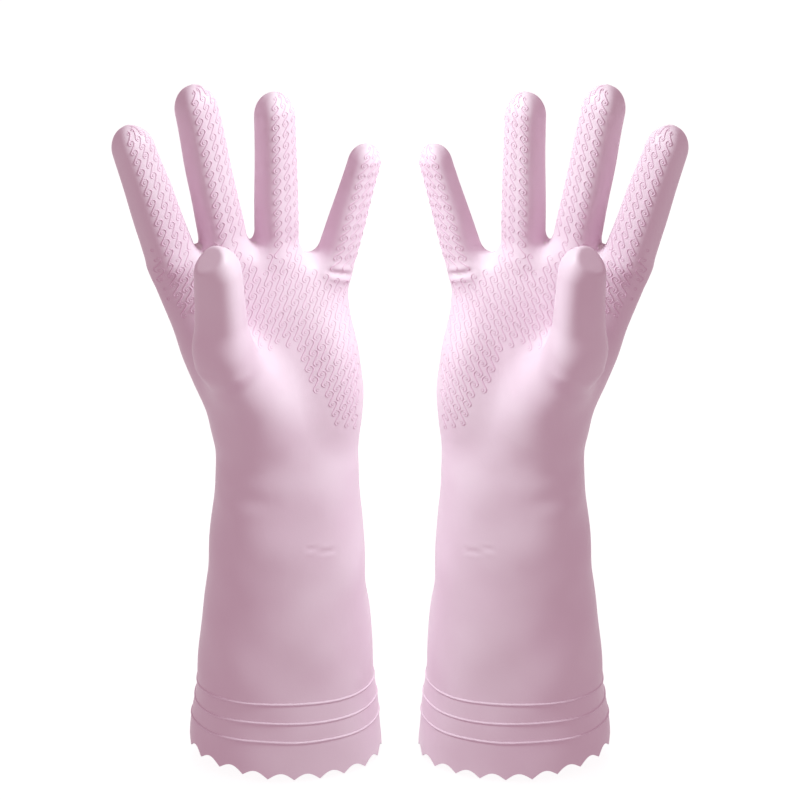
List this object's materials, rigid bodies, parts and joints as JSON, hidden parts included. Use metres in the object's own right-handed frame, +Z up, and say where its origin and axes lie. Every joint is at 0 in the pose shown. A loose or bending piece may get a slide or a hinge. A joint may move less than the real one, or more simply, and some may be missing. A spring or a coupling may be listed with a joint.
{
  "type": "rubber gloves",
  "caption": "Pair of household rubber gloves with long flared cuffs, raised beads, a pinked rim and a raised grip pattern on the palms and fingers.",
  "frame": {"origin": "on the surface that the cuffs stand on, under the centre of the pair", "axes": "+X to the right across the pair, +Y from the palms to the backs of the hands, +Z up along the fingers"},
  "size_m": [0.2438, 0.0986, 0.3201],
  "materials": {
    "rubber": "satin pale pink dipped latex",
    "flock": "matte cotton flock"
  },
  "bodies": {
    "left_cuff": {"left_cuff": "rubber", "left_cuff_rim": "rubber", "left_cuff_beads": "rubber", "left_cuff_lining": "flock"},
    "left_palm": {"left_palm": "rubber", "left_palm_lining": "flock"},
    "left_thumb_base": {"left_thumb_base": "rubber"},
    "left_thumb_tip": {"left_thumb_tip": "rubber"},
    "left_index_finger_base": {"left_index_finger_base": "rubber"},
    "left_index_finger_middle": {"left_index_finger_middle": "rubber"},
    "left_index_finger_tip": {"left_index_finger_tip": "rubber"},
    "left_middle_finger_base": {"left_middle_finger_base": "rubber"},
    "left_middle_finger_middle": {"left_middle_finger_middle": "rubber"},
    "left_middle_finger_tip": {"left_middle_finger_tip": "rubber"},
    "left_ring_finger_base": {"left_ring_finger_base": "rubber"},
    "left_ring_finger_middle": {"left_ring_finger_middle": "rubber"},
    "left_ring_finger_tip": {"left_ring_finger_tip": "rubber"},
    "left_little_finger_base": {"left_little_finger_base": "rubber"},
    "left_little_finger_middle": {"left_little_finger_middle": "rubber"},
    "left_little_finger_tip": {"left_little_finger_tip": "rubber"},
    "right_cuff": {"right_cuff": "rubber", "right_cuff_rim": "rubber", "right_cuff_beads": "rubber", "right_cuff_lining": "flock"},
    "right_palm": {"right_palm": "rubber", "right_palm_lining": "flock"},
    "right_thumb_base": {"right_thumb_base": "rubber"},
    "right_thumb_tip": {"right_thumb_tip": "rubber"},
    "right_index_finger_base": {"right_index_finger_base": "rubber"},
    "right_index_finger_middle": {"right_index_finger_middle": "rubber"},
    "right_index_finger_tip": {"right_index_finger_tip": "rubber"},
    "right_middle_finger_base": {"right_middle_finger_base": "rubber"},
    "right_middle_finger_middle": {"right_middle_finger_middle": "rubber"},
    "right_middle_finger_tip": {"right_middle_finger_tip": "rubber"},
    "right_ring_finger_base": {"right_ring_finger_base": "rubber"},
    "right_ring_finger_middle": {"right_ring_finger_middle": "rubber"},
    "right_ring_finger_tip": {"right_ring_finger_tip": "rubber"},
    "right_little_finger_base": {"right_little_finger_base": "rubber"},
    "right_little_finger_middle": {"right_little_finger_middle": "rubber"},
    "right_little_finger_tip": {"right_little_finger_tip": "rubber"}
  },
  "joints": [
    {"name": "pair_slide", "type": "slide", "parent": "left_cuff", "child": "right_cuff", "axis": [1, 0, 0], "range_m": [0, 0.06]},
    {"name": "left_wrist", "type": "hinge", "parent": "left_cuff", "child": "left_palm", "pos_m": [-0.0517, 0.01127, 0.15], "axis": [0.9397, 0.342, 0], "range_deg": [-20, 20], "stiffness_Nm_per_rad": 0.6},
    {"name": "left_index_knuckle", "type": "hinge", "parent": "left_palm", "child": "left_index_finger_base", "pos_m": [-0.09986, -0.00961, 0.24799], "axis": [0.8937, 0.3253, 0.309], "range_deg": [-10, 45], "stiffness_Nm_per_rad": 0.03},
    {"name": "left_index_middle_joint", "type": "hinge", "parent": "left_index_finger_base", "child": "left_index_finger_middle", "pos_m": [-0.10514, -0.01386, 0.26773], "axis": [0.8937, 0.3253, 0.309], "range_deg": [0, 65], "stiffness_Nm_per_rad": 0.02},
    {"name": "left_index_end_joint", "type": "hinge", "parent": "left_index_finger_middle", "child": "left_index_finger_tip", "pos_m": [-0.10984, -0.01763, 0.28529], "axis": [0.8937, 0.3253, 0.309], "range_deg": [0, 39], "stiffness_Nm_per_rad": 0.01},
    {"name": "left_middle_knuckle", "type": "hinge", "parent": "left_palm", "child": "left_middle_finger_base", "pos_m": [-0.07693, -0.00108, 0.25146], "axis": [0.9208, 0.3352, 0.1994], "range_deg": [-10, 45], "stiffness_Nm_per_rad": 0.03},
    {"name": "left_middle_middle_joint", "type": "hinge", "parent": "left_middle_finger_base", "child": "left_middle_finger_middle", "pos_m": [-0.08073, -0.00527, 0.27602], "axis": [0.9208, 0.3352, 0.1994], "range_deg": [0, 65], "stiffness_Nm_per_rad": 0.02},
    {"name": "left_middle_end_joint", "type": "hinge", "parent": "left_middle_finger_middle", "child": "left_middle_finger_tip", "pos_m": [-0.0841, -0.00899, 0.29785], "axis": [0.9208, 0.3352, 0.1994], "range_deg": [0, 39], "stiffness_Nm_per_rad": 0.01},
    {"name": "left_ring_knuckle", "type": "hinge", "parent": "left_palm", "child": "left_ring_finger_base", "pos_m": [-0.05351, 0.0075, 0.24666], "axis": [0.9391, 0.3418, 0.0349], "range_deg": [-10, 45], "stiffness_Nm_per_rad": 0.03},
    {"name": "left_ring_middle_joint", "type": "hinge", "parent": "left_ring_finger_base", "child": "left_ring_finger_middle", "pos_m": [-0.05343, 0.00481, 0.27099], "axis": [0.9391, 0.3418, 0.0349], "range_deg": [0, 65], "stiffness_Nm_per_rad": 0.02},
    {"name": "left_ring_end_joint", "type": "hinge", "parent": "left_ring_finger_middle", "child": "left_ring_finger_tip", "pos_m": [-0.05337, 0.00241, 0.29262], "axis": [0.9391, 0.3418, 0.0349], "range_deg": [0, 39], "stiffness_Nm_per_rad": 0.01},
    {"name": "left_little_knuckle", "type": "hinge", "parent": "left_palm", "child": "left_little_finger_base", "pos_m": [-0.02832, 0.01698, 0.2367], "axis": [0.9055, 0.3296, -0.2672], "range_deg": [-10, 45], "stiffness_Nm_per_rad": 0.03},
    {"name": "left_little_middle_joint", "type": "hinge", "parent": "left_little_finger_base", "child": "left_little_finger_middle", "pos_m": [-0.02277, 0.01683, 0.25534], "axis": [0.9055, 0.3296, -0.2672], "range_deg": [0, 65], "stiffness_Nm_per_rad": 0.02},
    {"name": "left_little_end_joint", "type": "hinge", "parent": "left_little_finger_middle", "child": "left_little_finger_tip", "pos_m": [-0.01783, 0.01671, 0.2719], "axis": [0.9055, 0.3296, -0.2672], "range_deg": [0, 39], "stiffness_Nm_per_rad": 0.01},
    {"name": "left_thumb_spread", "type": "hinge", "parent": "left_palm", "child": "left_thumb_base", "pos_m": [-0.08029, -0.03, 0.20558], "axis": [0.3558, -0.8984, -0.2574], "range_deg": [-10, 50], "stiffness_Nm_per_rad": 0.04},
    {"name": "left_thumb_end_joint", "type": "hinge", "parent": "left_thumb_base", "child": "left_thumb_tip", "pos_m": [-0.07618, -0.03279, 0.23239], "axis": [-0.9872, 0.1546, 0.0382], "range_deg": [-25, 25], "stiffness_Nm_per_rad": 0.02},
    {"name": "right_wrist", "type": "hinge", "parent": "right_cuff", "child": "right_palm", "pos_m": [0.0517, 0.01127, 0.15], "axis": [0.9397, -0.342, 0], "range_deg": [-20, 20], "stiffness_Nm_per_rad": 0.6},
    {"name": "right_index_knuckle", "type": "hinge", "parent": "right_palm", "child": "right_index_finger_base", "pos_m": [0.09986, -0.00961, 0.24799], "axis": [0.8937, -0.3253, -0.309], "range_deg": [-10, 45], "stiffness_Nm_per_rad": 0.03},
    {"name": "right_index_middle_joint", "type": "hinge", "parent": "right_index_finger_base", "child": "right_index_finger_middle", "pos_m": [0.10514, -0.01386, 0.26773], "axis": [0.8937, -0.3253, -0.309], "range_deg": [0, 65], "stiffness_Nm_per_rad": 0.02},
    {"name": "right_index_end_joint", "type": "hinge", "parent": "right_index_finger_middle", "child": "right_index_finger_tip", "pos_m": [0.10984, -0.01763, 0.28529], "axis": [0.8937, -0.3253, -0.309], "range_deg": [0, 39], "stiffness_Nm_per_rad": 0.01},
    {"name": "right_middle_knuckle", "type": "hinge", "parent": "right_palm", "child": "right_middle_finger_base", "pos_m": [0.07693, -0.00108, 0.25146], "axis": [0.9208, -0.3352, -0.1994], "range_deg": [-10, 45], "stiffness_Nm_per_rad": 0.03},
    {"name": "right_middle_middle_joint", "type": "hinge", "parent": "right_middle_finger_base", "child": "right_middle_finger_middle", "pos_m": [0.08073, -0.00527, 0.27602], "axis": [0.9208, -0.3352, -0.1994], "range_deg": [0, 65], "stiffness_Nm_per_rad": 0.02},
    {"name": "right_middle_end_joint", "type": "hinge", "parent": "right_middle_finger_middle", "child": "right_middle_finger_tip", "pos_m": [0.0841, -0.00899, 0.29785], "axis": [0.9208, -0.3352, -0.1994], "range_deg": [0, 39], "stiffness_Nm_per_rad": 0.01},
    {"name": "right_ring_knuckle", "type": "hinge", "parent": "right_palm", "child": "right_ring_finger_base", "pos_m": [0.05351, 0.0075, 0.24666], "axis": [0.9391, -0.3418, -0.0349], "range_deg": [-10, 45], "stiffness_Nm_per_rad": 0.03},
    {"name": "right_ring_middle_joint", "type": "hinge", "parent": "right_ring_finger_base", "child": "right_ring_finger_middle", "pos_m": [0.05343, 0.00481, 0.27099], "axis": [0.9391, -0.3418, -0.0349], "range_deg": [0, 65], "stiffness_Nm_per_rad": 0.02},
    {"name": "right_ring_end_joint", "type": "hinge", "parent": "right_ring_finger_middle", "child": "right_ring_finger_tip", "pos_m": [0.05337, 0.00241, 0.29262], "axis": [0.9391, -0.3418, -0.0349], "range_deg": [0, 39], "stiffness_Nm_per_rad": 0.01},
    {"name": "right_little_knuckle", "type": "hinge", "parent": "right_palm", "child": "right_little_finger_base", "pos_m": [0.02832, 0.01698, 0.2367], "axis": [0.9055, -0.3296, 0.2672], "range_deg": [-10, 45], "stiffness_Nm_per_rad": 0.03},
    {"name": "right_little_middle_joint", "type": "hinge", "parent": "right_little_finger_base", "child": "right_little_finger_middle", "pos_m": [0.02277, 0.01683, 0.25534], "axis": [0.9055, -0.3296, 0.2672], "range_deg": [0, 65], "stiffness_Nm_per_rad": 0.02},
    {"name": "right_little_end_joint", "type": "hinge", "parent": "right_little_finger_middle", "child": "right_little_finger_tip", "pos_m": [0.01783, 0.01671, 0.2719], "axis": [0.9055, -0.3296, 0.2672], "range_deg": [0, 39], "stiffness_Nm_per_rad": 0.01},
    {"name": "right_thumb_spread", "type": "hinge", "parent": "right_palm", "child": "right_thumb_base", "pos_m": [0.08029, -0.03, 0.20558], "axis": [0.3558, 0.8984, 0.2574], "range_deg": [-10, 50], "stiffness_Nm_per_rad": 0.04},
    {"name": "right_thumb_end_joint", "type": "hinge", "parent": "right_thumb_base", "child": "right_thumb_tip", "pos_m": [0.07618, -0.03279, 0.23239], "axis": [-0.9872, -0.1546, -0.0382], "range_deg": [-25, 25], "stiffness_Nm_per_rad": 0.02}
  ],
  "couplings": [
    {"joint": "left_index_end_joint", "follows": "left_index_middle_joint", "ratio": 0.6},
    {"joint": "left_middle_end_joint", "follows": "left_middle_middle_joint", "ratio": 0.6},
    {"joint": "left_ring_end_joint", "follows": "left_ring_middle_joint", "ratio": 0.6},
    {"joint": "left_little_end_joint", "follows": "left_little_middle_joint", "ratio": 0.6},
    {"joint": "right_index_end_joint", "follows": "right_index_middle_joint", "ratio": 0.6},
    {"joint": "right_middle_end_joint", "follows": "right_middle_middle_joint", "ratio": 0.6},
    {"joint": "right_ring_end_joint", "follows": "right_ring_middle_joint", "ratio": 0.6},
    {"joint": "right_little_end_joint", "follows": "right_little_middle_joint", "ratio": 0.6}
  ]
}
